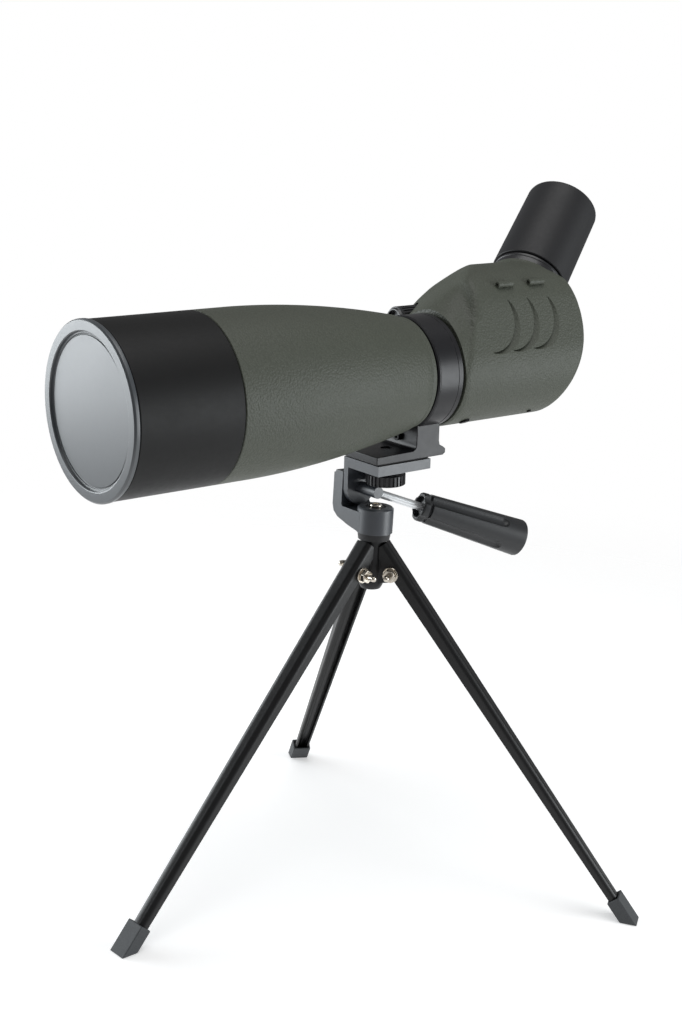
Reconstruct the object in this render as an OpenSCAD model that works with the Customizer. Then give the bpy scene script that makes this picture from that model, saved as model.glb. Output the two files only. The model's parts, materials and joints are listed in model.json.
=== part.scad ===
// Angled spotting scope standing on its small tabletop tripod.
// Millimetres, +Z up, floor at z = 0, pan axis on x = y = 0, objective towards +X.

/* [Scope] */
// Outer radius of the objective cap flange
cap_r = 40; // [36:0.5:44]
// Outer radius of the pull-out sun shade
shade_r = 39.6; // [36:0.1:43]
// Length of the sun shade
shade_l = 52.3; // [40:0.1:60]
// Radius of the body at the tripod collar
waist_r = 27.9; // [25:0.1:30]
// Length of the armoured barrel ahead of the collar
barrel_l = 118.6; // [100:0.1:130]
// Radius of the rounded prism housing
house_r = 29; // [27:0.1:31]
// Height the housing rises above the round part
house_rise = 22; // [18:0.5:26]
// Free radius of the objective lens
lens_r = 30; // [25:0.5:32]

/* [Eyepiece] */
// Angle between the eyepiece and the barrel
eye_angle = 45; // [30:1:60]
// Radius of the eyepiece dust cap at its rim
eye_cap_r = 20.4; // [18:0.1:22]
// Radius of the eyepiece dust cap at its closed end
eye_cap_end_r = 19.7; // [17:0.1:21]
// Length of the eyepiece dust cap
eye_cap_l = 54; // [45:0.5:60]

/* [Tripod] */
// Height of the tilt axis above the floor
tilt_z = 203; // [180:1:230]
// Nose-down tilt of the scope at rest
nose_down = 2.7; // [-10:0.1:15]
// Roll of the scope in its collar at rest
roll = 24; // [-90:1:90]
// Turn of the leg star about the pan axis
leg_turn = 5.2; // [0:0.1:60]
// Splay of each leg from the vertical
splay = 38.7; // [30:0.1:45]
// Radius of the pan hub
hub_r = 9.1; // [8:0.1:12]
// Length of the handle grip
grip_l = 61; // [50:1:80]
// Angle the handle points below the head's base plane
handle_drop = 20.6; // [10:0.1:30]
// Angle the handle is turned to the left of straight back
handle_turn = 17.5; // [0:0.5:30]

/* [Hidden] */
$fn = 96;
gap = 0.1;
run = 0.05;
axis_h = 58.5;
head_y = -2;
collar_x = -23.1;
wall = 2.6;

// Barrel stations, measured along the scope from the middle of the collar.
barrel_x0 = 8.4;
barrel_x1 = barrel_x0 + barrel_l;
shade_x0 = barrel_x1 + 0.2;
shade_x1 = shade_x0 + shade_l;
flange_t = 2.8;
journal_r = 25;
tube_r = 37;
tube_x1 = 168;
skin = 2;

// Prism housing stations.
house_x0 = -9.7;
back_x = -54.5;
back_z = 14.6;
back_r = 49.8;
eye_x = -50.3;
boss_r = 20;
boss_top = 54.5;
ring_top = 59.7;
bar_r = 1.6;

// Focus knob.
knob_y = -18;
knob_z = 30.6;
knob_r = 7;
knob_x1 = -9.9;
knob_x0 = -31;

// Tripod head.
plate_x0 = -24.5;
plate_x1 = 8.8;
plate_w = 27.3;
plate_z0 = 11.5;
plate_z1 = 16.6;
flange_w = 3.3;
pad_t = 0.8;
stud_x = -7;
lock_drop = 31.8;
wheel_r = 10;
rod_r = 2.1;
stud_r = 1.9;
boss_end = 1.4;
arm_y0 = -23.4;
arm_y1 = -16.3;
hub_z0 = 183;
hub_z1 = 196;
grip_x0 = 26;

// Legs.
pin_r = 11.3;
pin_z = 163.2;
pin_hole = 1.6;
leg_mid = 3.2;
leg_top = 14.6;
leg_len = 205;
leg_w0 = 10.4;
leg_w1 = 7.8;
leg_d0 = 7.6;
leg_d1 = 4.3;
sheet = 1;
lug_t = 8.2;
post_r = 6.3;

// Node to draw, or all of them

// ---- frames ----

module on_head() {
    translate([0, 0, tilt_z])
        rotate([0, nose_down, 0])
            children();
}

module on_scope() {
    on_head()
        translate([collar_x, head_y, axis_h])
            rotate([roll, 0, 0])
                children();
}

module on_eyepiece() {
    on_scope()
        translate([eye_x, 0, 0])
            rotate([0, -(90 - eye_angle), 0])
                children();
}

// Frame of the handle, with +X running out along the rod.
module on_handle() {
    on_head()
        translate([0, head_y, -0.2])
            rotate([0, handle_drop, 180 - handle_turn])
                children();
}

module on_leg(k) {
    rotate([0, 0, leg_turn + 120 * k])
        translate([pin_r, 0, pin_z])
            rotate([0, -splay, 0])
                children();
}

// Turned part about +X from points given as [radius, station].
module lathe_x(points) {
    rotate([0, 90, 0])
        rotate_extrude()
            polygon(points);
}

module lathe_z(points) {
    rotate_extrude()
        polygon(points);
}

// Round bar along +Y between two stations.
module bar_y(r, y0, y1) {
    translate([0, y0, 0])
        rotate([-90, 0, 0])
            cylinder(r = r, h = y1 - y0);
}

// Round bar along +X between two stations.
module bar_x(r, x0, x1) {
    translate([x0, 0, 0])
        rotate([0, 90, 0])
            cylinder(r = r, h = x1 - x0);
}

// Lens outline from its front and back vertices and their edge sags.
function lens_points(r, x_front, sag_front, x_back, sag_back) = concat(
    [for (i = [0 : 8]) [r * i / 8, x_front - sag_front * pow(i / 8, 2)]],
    [for (i = [8 : -1 : 0]) [r * i / 8, x_back + sag_back * pow(i / 8, 2)]]
);

// ---- tripod ----

module lug_outline() {
    polygon([
        [0, 157], [10, 158.6], [15.2, 160.6], [14.5, 166.6], [7, 176], [0, 178]
    ]);
}

module spider() {
    difference() {
        union() {
            translate([0, 0, 179.4])
                cylinder(r1 = 7.9, r2 = 8.4, h = hub_z0 - 179.4 - gap);
            translate([0, 0, 158])
                cylinder(r = post_r, h = 22);
            translate([0, 0, 158])
                intersection() {
                    sphere(r = post_r);
                    translate([0, 0, -2])
                        cube([20, 20, 4], center = true);
                }
            for (k = [0 : 2])
                rotate([0, 0, leg_turn + 120 * k])
                    translate([0, lug_t / 2, 0])
                        rotate([90, 0, 0])
                            linear_extrude(lug_t)
                                lug_outline();
        }
        translate([0, 0, 165])
            cylinder(r = 2.1, h = 30);
        for (k = [0 : 2])
            on_leg(k)
                bar_y(pin_hole, -10, 10);
    }
}

// Frame of a pivot pin; the second one is fitted the other way round.
module on_pin(k) {
    on_leg(k)
        rotate([0, 0, k == 1 ? 180 : 0])
            children();
}

module pivot_screws() {
    for (k = [0 : 2])
        on_pin(k) {
            bar_y(pin_hole - run, -6.2, 14.5);
            bar_y(3.9, -6.1, -5.3);
            translate([0, -6, 0])
                rotate([90, 0, 0])
                    difference() {
                        lathe_z([[0, 0], [3.1, 0], [3.1, 1], [2.4, 1.9], [1.2, 2.3], [0, 2.4]]);
                        translate([0, 0, 2])
                            cube([3.6, 0.8, 1.6], center = true);
                        translate([0, 0, 2])
                            cube([0.8, 3.6, 1.6], center = true);
                    }
        }
}

module pivot_nuts() {
    for (k = [0 : 2])
        on_pin(k)
            difference() {
                union() {
                    bar_y(3.9, 5.3, 6.1);
                    translate([0, 6.1, 0])
                        rotate([-90, 0, 0])
                            cylinder(r = 3.4, h = 3.2, $fn = 6);
                }
                bar_y(pin_hole, 5, 10);
            }
}

module leg_side(d_top, d_bottom, z_top) {
    rotate([90, 0, 0])
        linear_extrude(20, center = true)
            polygon([
                [leg_mid + d_top / 2, z_top], [leg_mid + d_bottom / 2, -leg_len],
                [leg_mid - d_bottom / 2, -leg_len], [leg_mid - d_top / 2, z_top]
            ]);
}

module leg_front(w_top, w_bottom) {
    rotate([90, 0, 90])
        linear_extrude(40, center = true)
            polygon([
                [-w_top / 2, leg_top], [-w_bottom / 2, -leg_len],
                [w_bottom / 2, -leg_len], [w_top / 2, leg_top]
            ]);
}

module leg(k) {
    difference() {
        on_leg(k)
            difference() {
                union() {
                    intersection() {
                        leg_side(leg_d0, leg_d1, leg_top);
                        leg_front(leg_w0, leg_w1);
                    }
                    bar_y(4, -leg_w0 / 2, leg_w0 / 2);
                }
                intersection() {
                    translate([-sheet - 20, 0, 0])
                        leg_side(leg_d0 + 40, leg_d1 + 40, leg_top + 1);
                    leg_front(leg_w0 - 2 * sheet, leg_w1 - 2 * sheet);
                }
                translate([-10, -lug_t / 2 - gap, -6])
                    cube([16, lug_t + 2 * gap, 30]);
                bar_y(pin_hole + run, -10, 10);
            }
        translate([0, 0, 150])
            cylinder(r = post_r + 0.6, h = 40);
    }
}

module foot(k) {
    difference() {
        on_leg(k)
            difference() {
                translate([leg_mid - 3.4, -5.2, -230])
                    cube([6.8, 10.4, 32.5]);
                intersection() {
                    leg_side(leg_d0 + 2 * gap, leg_d1 + 2 * gap, leg_top);
                    leg_front(leg_w0 + 2 * gap, leg_w1 + 2 * gap);
                }
            }
        translate([-300, -300, -60])
            cube([600, 600, 60]);
    }
}

module arm_profile() {
    difference() {
        polygon([
            [arm_y0, 211], [arm_y0, 193], [arm_y0 + 1.2, 189.6], [arm_y0 + 4.6, 187.2],
            [-10, 184.8], [0, hub_z0], [0, 193.4], [arm_y1 + 1, 193.4],
            [arm_y1, 194.4], [arm_y1, 211]
        ]);
        translate([arm_y0, 211])
            circle(r = 1.5);
    }
}

module pan_base() {
    difference() {
        union() {
            translate([0, 0, hub_z0])
                cylinder(r = hub_r, h = hub_z1 - hub_z0 - 0.8);
            translate([0, 0, hub_z1 - 0.8])
                cylinder(r1 = hub_r, r2 = hub_r - 0.8, h = 0.8);
            rotate([90, 0, 90])
                linear_extrude(2 * hub_r, center = true)
                    arm_profile();
        }
        translate([0, 0, 170])
            cylinder(r = 2.15, h = 40);
        translate([0, 0, hub_z1 - 1.2])
            cylinder(r = 5.2, h = 5);
        translate([0, 0, tilt_z])
            bar_y(stud_r + run, -30, -10);
        difference() {
            translate([-20, -1, hub_z0 - 1])
                cube([40, 30, 40]);
            cylinder(r = hub_r, h = 400);
        }
    }
}

module pan_screw() {
    translate([0, 0, 168])
        cylinder(r = 2.05, h = hub_z1 - 168);
    translate([0, 0, hub_z1 - 1.1])
        cylinder(r = 5, h = 0.9);
    translate([0, 0, hub_z1 - 0.3])
        difference() {
            lathe_z([[0, 0], [3.1, 0], [3.1, 1], [2.5, 1.7], [0, 2]]);
            translate([0, 0, 1])
                cylinder(r = 1.5, h = 2, $fn = 6);
        }
}

// Pin the head tilts on, pressed through the arm.
module tilt_pin() {
    translate([0, 0, tilt_z]) {
        bar_y(stud_r, arm_y0 - 0.4, -9.2);
        difference() {
            translate([0, arm_y0 - 0.1, 0])
                rotate([90, 0, 0])
                    lathe_z([[0, 0], [3.6, 0], [3.6, 0.8], [2.6, 1.7], [0, 1.9]]);
            translate([0, arm_y0 - 2, 0])
                cube([5, 1.2, 0.8], center = true);
        }
    }
}

module handle_rod() {
    on_handle()
        bar_x(rod_r, -1.6, grip_x0 + 40);
}

module handle_grip() {
    on_handle()
        difference() {
            translate([grip_x0, 0, 0])
                lathe_x([
                    [0, 0], [6.7, 0], [7.4, 0.7], [7.5, 3.4], [7, 3.7], [7, 4.8],
                    [7.6, 5.1], [9.6, grip_l - 1.6], [9, grip_l - 0.5], [6, grip_l - 0.1], [0, grip_l]
                ]);
            bar_x(rod_r + 0.02, grip_x0 - 1, grip_x0 + 41);
            bar_x(5.2, grip_x0 - 1, grip_x0 + 2.4);
            for (k = [0 : 3])
                rotate([90 * k + 45, 0, 0])
                    translate([grip_x0 + 5, 0, 9.9])
                        rotate([0, 90 - 2, 0]) {
                            cylinder(r = 3.6, h = grip_l - 20);
                            translate([0, 0, grip_l - 20])
                                sphere(r = 3.6, $fn = 48);
                        }
        }
}

module platform() {
    on_head()
        difference() {
            union() {
                translate([plate_x0, head_y - plate_w / 2, plate_z0])
                    cube([plate_x1 - plate_x0, plate_w, plate_z1 - plate_z0]);
                translate([-plate_x1, head_y - plate_w / 2, 0])
                    cube([2 * plate_x1, flange_w, plate_z0 + 1]);
                bar_y(plate_x1, head_y - plate_w / 2, head_y - plate_w / 2 + flange_w);
                bar_y(3, head_y - plate_w / 2, boss_end);
            }
            bar_y(stud_r + run, -30, -9);
            translate([0, head_y, -0.2])
                rotate([0, handle_drop, 180 - handle_turn])
                    bar_x(rod_r + run, -1.7, 20);
            translate([stud_x, head_y, 0])
                cylinder(r = 3.3, h = 40);
        }
}

module top_pad() {
    on_head()
        difference() {
            translate([plate_x0 + 0.9, head_y - plate_w / 2 + 0.9, plate_z1])
                cube([plate_x1 - plate_x0 - 1.8, plate_w - 1.8, pad_t]);
            translate([stud_x, head_y, 0])
                cylinder(r = 3.3, h = 40);
        }
}

module camera_screw() {
    on_head()
        translate([stud_x, head_y, 0])
            difference() {
                union() {
                    translate([0, 0, 3.3])
                        cylinder(r1 = wheel_r - 0.6, r2 = wheel_r, h = 0.6);
                    translate([0, 0, 3.9])
                        cylinder(r = wheel_r, h = 4.3);
                    translate([0, 0, 8.2])
                        cylinder(r1 = wheel_r, r2 = wheel_r - 0.6, h = 0.6);
                    translate([0, 0, 8.5])
                        cylinder(r = 5.4, h = plate_z0 - 8.5 - gap);
                    cylinder(r = 3.05, h = plate_z1 + 4.4);
                }
                for (i = [0 : 29])
                    rotate([0, 0, 12 * i])
                        translate([wheel_r + 0.25, 0, 3])
                            cylinder(r = 0.7, h = 6.5);
                translate([0, 0, -1])
                    cylinder(r = 3.4, h = 4.3);
            }
}

module bracket_outline() {
    polygon([
        [8, -24], [8, -34.2], [8.6, -35.9], [10.2, -36.8], [33, -37.2], [33, -41.1],
        [-9.4, -41.1], [-11, -40], [-11, -38], [-9.6, -36.9], [-7.2, -35.6],
        [-6.6, -33.5], [-6.6, -24]
    ]);
}

module collar() {
    on_head()
        translate([collar_x, head_y, axis_h])
            difference() {
                union() {
                    lathe_x([
                        [20, -8.3], [27.6, -8.3], [28.2, -7.7], [28.2, 7], [27.6, 7.6], [20, 7.6]
                    ]);
                    rotate([90, 0, 0])
                        linear_extrude(plate_w, center = true)
                            bracket_outline();
                }
                bar_x(journal_r + run, -30, 60);
                translate([-collar_x + stud_x, 0, -50])
                    cylinder(r = 3.05 + run, h = 20);
                translate([0, 0, -lock_drop])
                    bar_x(1.5 + run, 0, 20);
            }
}

module lock_screw() {
    on_head()
        translate([collar_x, head_y, axis_h - lock_drop]) {
            bar_x(1.5, 3, 9);
            difference() {
                bar_x(2.1, 8.1, 10.2);
                bar_x(1, 9, 12);
            }
        }
}

// ---- scope ----

function barrel_r(x) = shade_r - (shade_r - waist_r) * pow(max(0, 1 - (x - barrel_x0) / 100), 1.9);

module barrel_tube() {
    x_in = barrel_x0 + 2;
    x_out = barrel_x1 - 1;
    on_scope()
        lathe_x(concat(
            [[journal_r - 2, -13], [journal_r, -13], [journal_r, x_in]],
            [for (i = [0 : 12]) let (x = x_in + (x_out - x_in) * i / 12)
                [min(barrel_r(x) - skin - gap, tube_r + 0.3), x]],
            [[tube_r, x_out], [tube_r, tube_x1], [tube_r - 2, tube_x1], [tube_r - 2, x_out]],
            [for (i = [12 : -1 : 0]) let (x = x_in + (x_out - x_in) * i / 12)
                [min(barrel_r(x) - skin - 2.2, tube_r - 2), x]],
            [[journal_r - 2, x_in]]
        ));
}

module barrel_armour() {
    on_scope()
        difference() {
            lathe_x(concat(
                [[journal_r + 0.6, barrel_x0], [waist_r - 0.5, barrel_x0]],
                [for (i = [1 : 24]) let (x = barrel_x0 + (barrel_l - 1) * i / 24)
                    [barrel_r(x), x]],
                [[shade_r - 0.6, barrel_x1], [tube_r + 0.6, barrel_x1]],
                [for (i = [11 : -1 : 0]) let (x = barrel_x0 + 2 + (barrel_l - 4) * i / 12)
                    [barrel_r(x) - skin, x]],
                [[journal_r + 0.6, barrel_x0 + 1.2]]
            ));
            translate([36, 0, -40])
                cylinder(r = 1.4, h = 9);
        }
}

module lens_cell() {
    on_scope()
        lathe_x([
            [tube_r - 2.1, 145], [tube_r - 2.1, 166], [lens_r + 0.5, 166], [lens_r + 1.6, 164.2],
            [lens_r + 1.6, 147.5], [lens_r - 0.4, 147], [lens_r - 0.4, 145]
        ]);
}

module objective_crown() {
    on_scope()
        lathe_x(lens_points(lens_r + 1.5, 165, 3.4, 156, 2.6));
}

module objective_flint() {
    on_scope()
        lathe_x(lens_points(lens_r + 1.5, 155.9, -2.6, 151, -1.4));
}

module sun_shade() {
    on_scope()
        lathe_x([
            [tube_r + 0.3, shade_x0], [shade_r - 0.5, shade_x0], [shade_r, shade_x0 + 0.5],
            [shade_r, shade_x1 - 0.3], [shade_r - 0.3, shade_x1], [tube_r + 0.8, shade_x1],
            [tube_r + 0.8, tube_x1 + 1.5], [tube_r + 0.3, tube_x1 + 1]
        ]);
}

module objective_cap() {
    x0 = shade_x1 + gap;
    x1 = x0 + flange_t;
    skirt_r = tube_r + 0.5;
    on_scope()
        lathe_x([
            [0, x0 - 1.2], [skirt_r - 1.8, x0 - 1.2], [skirt_r - 1.8, x0 - 8.5], [skirt_r, x0 - 8.5],
            [skirt_r, x0], [cap_r - 0.4, x0], [cap_r, x0 + 0.6], [cap_r, x1 - 0.8],
            [cap_r - 0.8, x1], [cap_r - 5, x1], [cap_r - 5.4, x1 - 0.4], [cap_r - 5.5, x1 - 1.4],
            [cap_r - 6.3, x1 - 1.4], [cap_r - 6.5, x1 - 1.9], [cap_r - 6.9, x1 - 1.9],
            [cap_r - 7.1, x1 - 1.4], [0, x1 - 1.4]
        ]);
}

module house_section(t) {
    circle(r = house_r - t);
    translate([0, house_rise])
        circle(r = house_r - t);
    translate([-house_r + t, 0])
        square([2 * (house_r - t), house_rise]);
}

module house_side(t) {
    polygon([
        [-10.5 - t, -40], [-10.5 - t, -10], [-23 - t, 22], [-27 - t, 38.4 - t],
        [-47.5, 50.7 - t], [-70, 51 - t], [-82, 44.6 - t], [-130, -3.4 - t],
        [-130, -40]
    ]);
}

module house_back(t) {
    translate([back_x, 0, back_z])
        sphere(r = back_r - t);
    translate([back_x, -50, -60])
        cube([80, 100, 140]);
}

// Section drawn in (y, z) carried along the scope to a station.
module section_at(x) {
    translate([x, 0, 0])
        rotate([90, 0, 90])
            linear_extrude(0.5)
                children();
}

module house_solid(t) {
    intersection() {
        rotate([90, 0, 90])
            translate([0, 0, -140])
                linear_extrude(135)
                    house_section(t);
        rotate([90, 0, 0])
            linear_extrude(80, center = true)
                house_side(t);
        house_back(t);
    }
    hull() {
        section_at(house_x0 - 0.5 - t)
            circle(r = waist_r - t, $fn = 48);
        section_at(-24.8)
            translate([0, 14.5])
                circle(r = 24.4 - t, $fn = 48);
        section_at(-46)
            translate([0, house_rise - 0.5])
                circle(r = house_r - 0.5 - t, $fn = 48);
        section_at(-46)
            circle(r = house_r - 0.5 - t, $fn = 48);
    }
}

module crescent() {
    rotate([90, 0, 0])
        difference() {
            translate([-2.2, -2.5])
                cylinder(r = 19.4, h = 1.4, center = true);
            cylinder(r = 18.1, h = 3, center = true);
        }
}

module eye_boss(t, reach) {
    translate([eye_x, 0, 0])
        rotate([0, -(90 - eye_angle), 0])
            translate([0, 0, 18])
                cylinder(r = boss_r - t, h = reach - 18);
}

module at_knob() {
    translate([0, knob_y, knob_z])
        children();
}

module prism_housing() {
    on_scope()
        difference() {
            union() {
                difference() {
                    union() {
                        house_solid(0);
                        eye_boss(0, boss_top);
                    }
                    house_solid(wall);
                    eye_boss(wall, boss_top - 3);
                }
                intersection() {
                    house_solid(0);
                    at_knob()
                        bar_x(knob_r + 2.8, -34.6, house_x0);
                }
            }
            bar_x(journal_r + run, -20, 5);
            at_knob() {
                bar_x(knob_r + 0.9, -32, 10);
                bar_x(2 + run, -50, 0);
            }
            eye_boss(5, 70);
            translate([eye_x, 0, 0])
                rotate([0, -(90 - eye_angle), 0])
                    translate([0, 0, boss_top])
                        cylinder(r = boss_r + 6, h = 20);
            for (side = [-1, 1])
                for (x = [-56.8, -42.7, -29.3])
                    translate([x, side * house_r, 17.2])
                        crescent();
            translate([-22, 3, -32])
                cylinder(r = 2.9, h = 4);
            translate([-66, 4, -32])
                cylinder(r = 1.3, h = 4);
            keeper_pair(bar_r + gap);
        }
}

module keeper_pair(r) {
    for (x = [-68.9, -47.4])
        translate([x, 26.6, 33.1]) {
            bar_x(r, -4.6, 4.6);
            translate([4.6, 0, 0])
                sphere(r = r);
            translate([-4.6, 0, 0])
                sphere(r = r);
        }
}

module keeper_bars() {
    on_scope()
        keeper_pair(bar_r);
}

module housing_screws() {
    on_scope() {
        translate([-22, 3, -29.6])
            difference() {
                cylinder(r = 2.6, h = 1.5);
                translate([-3, -0.4, -1])
                    cube([6, 0.8, 1.6]);
            }
        translate([-66, 4, -29.4])
            cylinder(r = 1.1, h = 1.3);
    }
}

// Bracket on two feet that holds the prisms inside the housing.
module prism_cage() {
    on_scope()
        difference() {
            union() {
                translate([-85, -14, -15.2])
                    cube([40, 28, 2]);
                translate([-85, -14, -15.2])
                    cube([2, 28, 12]);
                translate([-47.1, -14, -15.2])
                    cube([1.7, 28, 10]);
                for (x = [-52, -66])
                    translate([x, 0, -26])
                        cylinder(r = 3, h = 11);
            }
            translate([-59, 0, -30])
                cylinder(r = 2, h = 20);
        }
}

module prism_front() {
    on_scope()
        rotate([90, 0, 0])
            linear_extrude(26, center = true)
                polygon([[-47.2, -13], [-47.2, 15], [-60, 15], [-69, -13]]);
}

module prism_rear() {
    on_scope()
        rotate([90, 0, 0])
            linear_extrude(26, center = true)
                polygon([[-61.2, 15], [-70.2, -13], [-82, 0], [-82, 24], [-73, 31]]);
}

module focus_knob() {
    on_scope()
        at_knob()
            difference() {
                union() {
                    lathe_x([
                        [0, knob_x0], [knob_r - 0.5, knob_x0], [knob_r, knob_x0 + 0.5],
                        [knob_r, knob_x1 - 1.2], [knob_r - 1.2, knob_x1], [knob_r - 1.7, knob_x1],
                        [knob_r - 1.9, knob_x1 - 1.4], [0, knob_x1 - 1.4]
                    ]);
                    bar_x(2, -47, knob_x0 + 1);
                }
                for (i = [0 : 23])
                    rotate([15 * i, 0, 0])
                        translate([0, knob_r + 0.3, 0])
                            bar_x(0.7, knob_x0 - 1, knob_x1 - 1.4);
            }
}

module focus_knob_screw() {
    on_scope()
        at_knob()
            difference() {
                translate([knob_x1 - 1.3, 0, 0])
                    rotate([0, 90, 0])
                        lathe_z([[0, 0], [2.2, 0], [2.2, 0.5], [1.4, 1.1], [0, 1.2]]);
                translate([knob_x1 - 0.3, 0, 0])
                    cube([1, 3, 0.6], center = true);
            }
}

// Lens barrel that the focus screw drives along the optical axis.
module focus_carriage() {
    on_scope()
        difference() {
            union() {
                bar_x(17, -42, -26);
                at_knob()
                    bar_x(4, -42, -38.5);
                rotate([30.5, 0, 0])
                    translate([-42, -2, 16])
                        cube([3.5, 4, 17]);
            }
            bar_x(15, -45, -20);
            at_knob()
                bar_x(2 + run, -60, -20);
        }
}

module focus_lens() {
    on_scope()
        lathe_x(lens_points(14.9, -30, -1.6, -35, -1.6));
}

module eyepiece_body() {
    on_eyepiece()
        difference() {
            union() {
                translate([0, 0, boss_top + gap])
                    cylinder(r = 19.5, h = ring_top - boss_top - 2 * gap);
                translate([0, 0, 45])
                    cylinder(r = 14, h = 48);
            }
            translate([0, 0, 40])
                cylinder(r = 12, h = 60);
        }
}

module zoom_ring() {
    on_eyepiece()
        translate([0, 0, ring_top + 1.5])
            difference() {
                cylinder(r = 17.6, h = 21);
                translate([0, 0, -1])
                    cylinder(r = 14 + run, h = 30);
                for (i = [0 : 35])
                    rotate([0, 0, 10 * i])
                        translate([18, 0, 2])
                            cylinder(r = 0.8, h = 17);
            }
}

module zoom_carriage() {
    on_eyepiece()
        translate([0, 0, 66])
            difference() {
                cylinder(r = 12 - run, h = 12);
                translate([0, 0, -1])
                    cylinder(r = 9.5, h = 20);
            }
}

module zoom_lens() {
    on_eyepiece()
        translate([0, 0, 72])
            lathe_z(lens_points(9.4, 3, 1.2, -3, 1.2));
}

module field_lens() {
    on_eyepiece()
        translate([0, 0, 52])
            lathe_z(lens_points(11.9, 3, 1.6, -2, 0));
}

module eye_lens() {
    on_eyepiece()
        translate([0, 0, 89])
            lathe_z(lens_points(11.9, 3, 0.6, -3, 1.4));
}

// Fold-down rubber cup round the eye lens.
module eyecup() {
    on_eyepiece()
        translate([0, 0, 84])
            lathe_z([
                [14.1, 0], [17.4, 0], [17.8, 4], [17.8, 22], [16.8, 24], [15.6, 22.6],
                [16, 13], [14.1, 9.4]
            ]);
}

module eyepiece_cap() {
    top = ring_top + eye_cap_l;
    slope = (eye_cap_r - eye_cap_end_r) / eye_cap_l;
    on_eyepiece()
        lathe_z([
            [eye_cap_r - 1.5, ring_top + 0.3], [eye_cap_r - 0.3, ring_top + 0.3],
            [eye_cap_r, ring_top + 0.6], [eye_cap_end_r + 1.4 * slope, top - 1.4],
            [eye_cap_end_r - 0.4, top - 0.4], [eye_cap_end_r - 1.4, top], [0, top],
            [0, top - 2], [eye_cap_end_r - 1.5, top - 2]
        ]);
}

color("#1b1b1d") spider();
color("#c9c6be") pivot_screws();
color("#c9c6be") pivot_nuts();
color("#b9bbbd") pan_screw();
color("#1d1d1f") leg(0);  // leg_1
color("#1d1d1f") leg(1);  // leg_2
color("#1d1d1f") leg(2);  // leg_3
color("#3a3c3e") foot(0);  // foot_1
color("#3a3c3e") foot(1);  // foot_2
color("#3a3c3e") foot(2);  // foot_3
color("#3c3f43") pan_base();
color("#1a1a1b") tilt_pin();
color("#d6d8da") handle_rod();
color("#222224") handle_grip();
color("#3c3f43") platform();
color("#151515") top_pad();
color("#26272a") camera_screw();
color("#34363a") collar();
color("#8d9094") lock_screw();
color("#202124") barrel_tube();
color("#4d5148") barrel_armour();
color("#18181a") lens_cell();
color([0.75, 0.82, 0.85, 0.4]) objective_crown();
color([0.75, 0.82, 0.85, 0.4]) objective_flint();
color("#19191b") sun_shade();
color("#3a4045") objective_cap();
color("#4d5148") prism_housing();
color("#4a4e46") keeper_bars();
color("#151515") housing_screws();
color("#2a2b2d") prism_cage();
color([0.75, 0.82, 0.85, 0.4]) prism_front();
color([0.75, 0.82, 0.85, 0.4]) prism_rear();
color("#1c1c1e") focus_knob();
color("#b9bbbd") focus_knob_screw();
color("#2a2b2d") focus_carriage();
color([0.75, 0.82, 0.85, 0.4]) focus_lens();
color("#17171a") eyepiece_body();
color("#1c1c1e") zoom_ring();
color("#2a2b2d") zoom_carriage();
color([0.75, 0.82, 0.85, 0.4]) zoom_lens();
color([0.75, 0.82, 0.85, 0.4]) field_lens();
color([0.75, 0.82, 0.85, 0.4]) eye_lens();
color("#222224") eyecup();
color("#232325") eyepiece_cap();
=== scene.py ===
# %% [markdown]
# # A spotting scope on its tabletop tripod
# This lesson dresses an exact CAD assembly for a photograph. The CAD gives every
# size, place and joint. Blender adds what the CAD leaves out: soft edges, ribs,
# moulded grain, paint, bare metal, glass and studio light. The first cell loads the
# CAD model as a fixed frame.

# %% Load the CAD frame
import json
import math

import bmesh
import bpy
from mathutils import Matrix, Vector


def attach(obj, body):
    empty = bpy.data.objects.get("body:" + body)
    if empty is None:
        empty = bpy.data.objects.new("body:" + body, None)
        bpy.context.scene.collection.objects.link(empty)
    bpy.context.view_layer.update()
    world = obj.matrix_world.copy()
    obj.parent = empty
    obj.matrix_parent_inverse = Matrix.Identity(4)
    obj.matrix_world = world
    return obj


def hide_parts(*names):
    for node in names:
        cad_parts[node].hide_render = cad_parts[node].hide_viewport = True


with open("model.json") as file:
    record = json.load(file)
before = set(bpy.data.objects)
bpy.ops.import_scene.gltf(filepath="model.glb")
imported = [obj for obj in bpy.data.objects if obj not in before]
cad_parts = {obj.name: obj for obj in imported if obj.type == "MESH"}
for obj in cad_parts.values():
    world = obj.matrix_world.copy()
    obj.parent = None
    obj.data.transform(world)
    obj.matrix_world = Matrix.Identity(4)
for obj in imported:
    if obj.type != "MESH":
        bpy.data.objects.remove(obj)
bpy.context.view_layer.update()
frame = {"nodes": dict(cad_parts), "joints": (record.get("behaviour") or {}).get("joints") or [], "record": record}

# %% [markdown]
# ## Where things are
# Each group of parts was drawn square to its own axis and then tipped into place:
# the scope leans a little nose-down and is rolled in its collar, the eyepiece stands
# at an angle to it, and every leg splays. It is easier to model in those local axes.
# The joints in the record already hold each axis, so the frames are read from them.
# Pieces are drawn in millimetres, and the frames scale them to metres.

# %% Local frames from the joints
MM = 0.001
SPLAY = math.radians(38.7)
EYE_PIVOT = 70 * MM

joint = {j["name"]: j for j in frame["joints"]}


def frame_at(origin, x_axis, z_hint):
    """Axes with X along x_axis and Z as near z_hint as it can be, in millimetres."""
    x = Vector(x_axis).normalized()
    z = Vector(z_hint)
    z = (z - x * z.dot(x)).normalized()
    m = Matrix((x, z.cross(x), z)).transposed().to_4x4()
    m.translation = Vector(origin)
    return m @ Matrix.Scale(MM, 4)


scope_axis = Vector(joint["collar_roll"]["axis"])
eye_axis = Vector(joint["zoom_turn"]["axis"])
eye_origin = Vector(joint["zoom_turn"]["pos_m"]) - eye_axis * EYE_PIVOT

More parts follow.
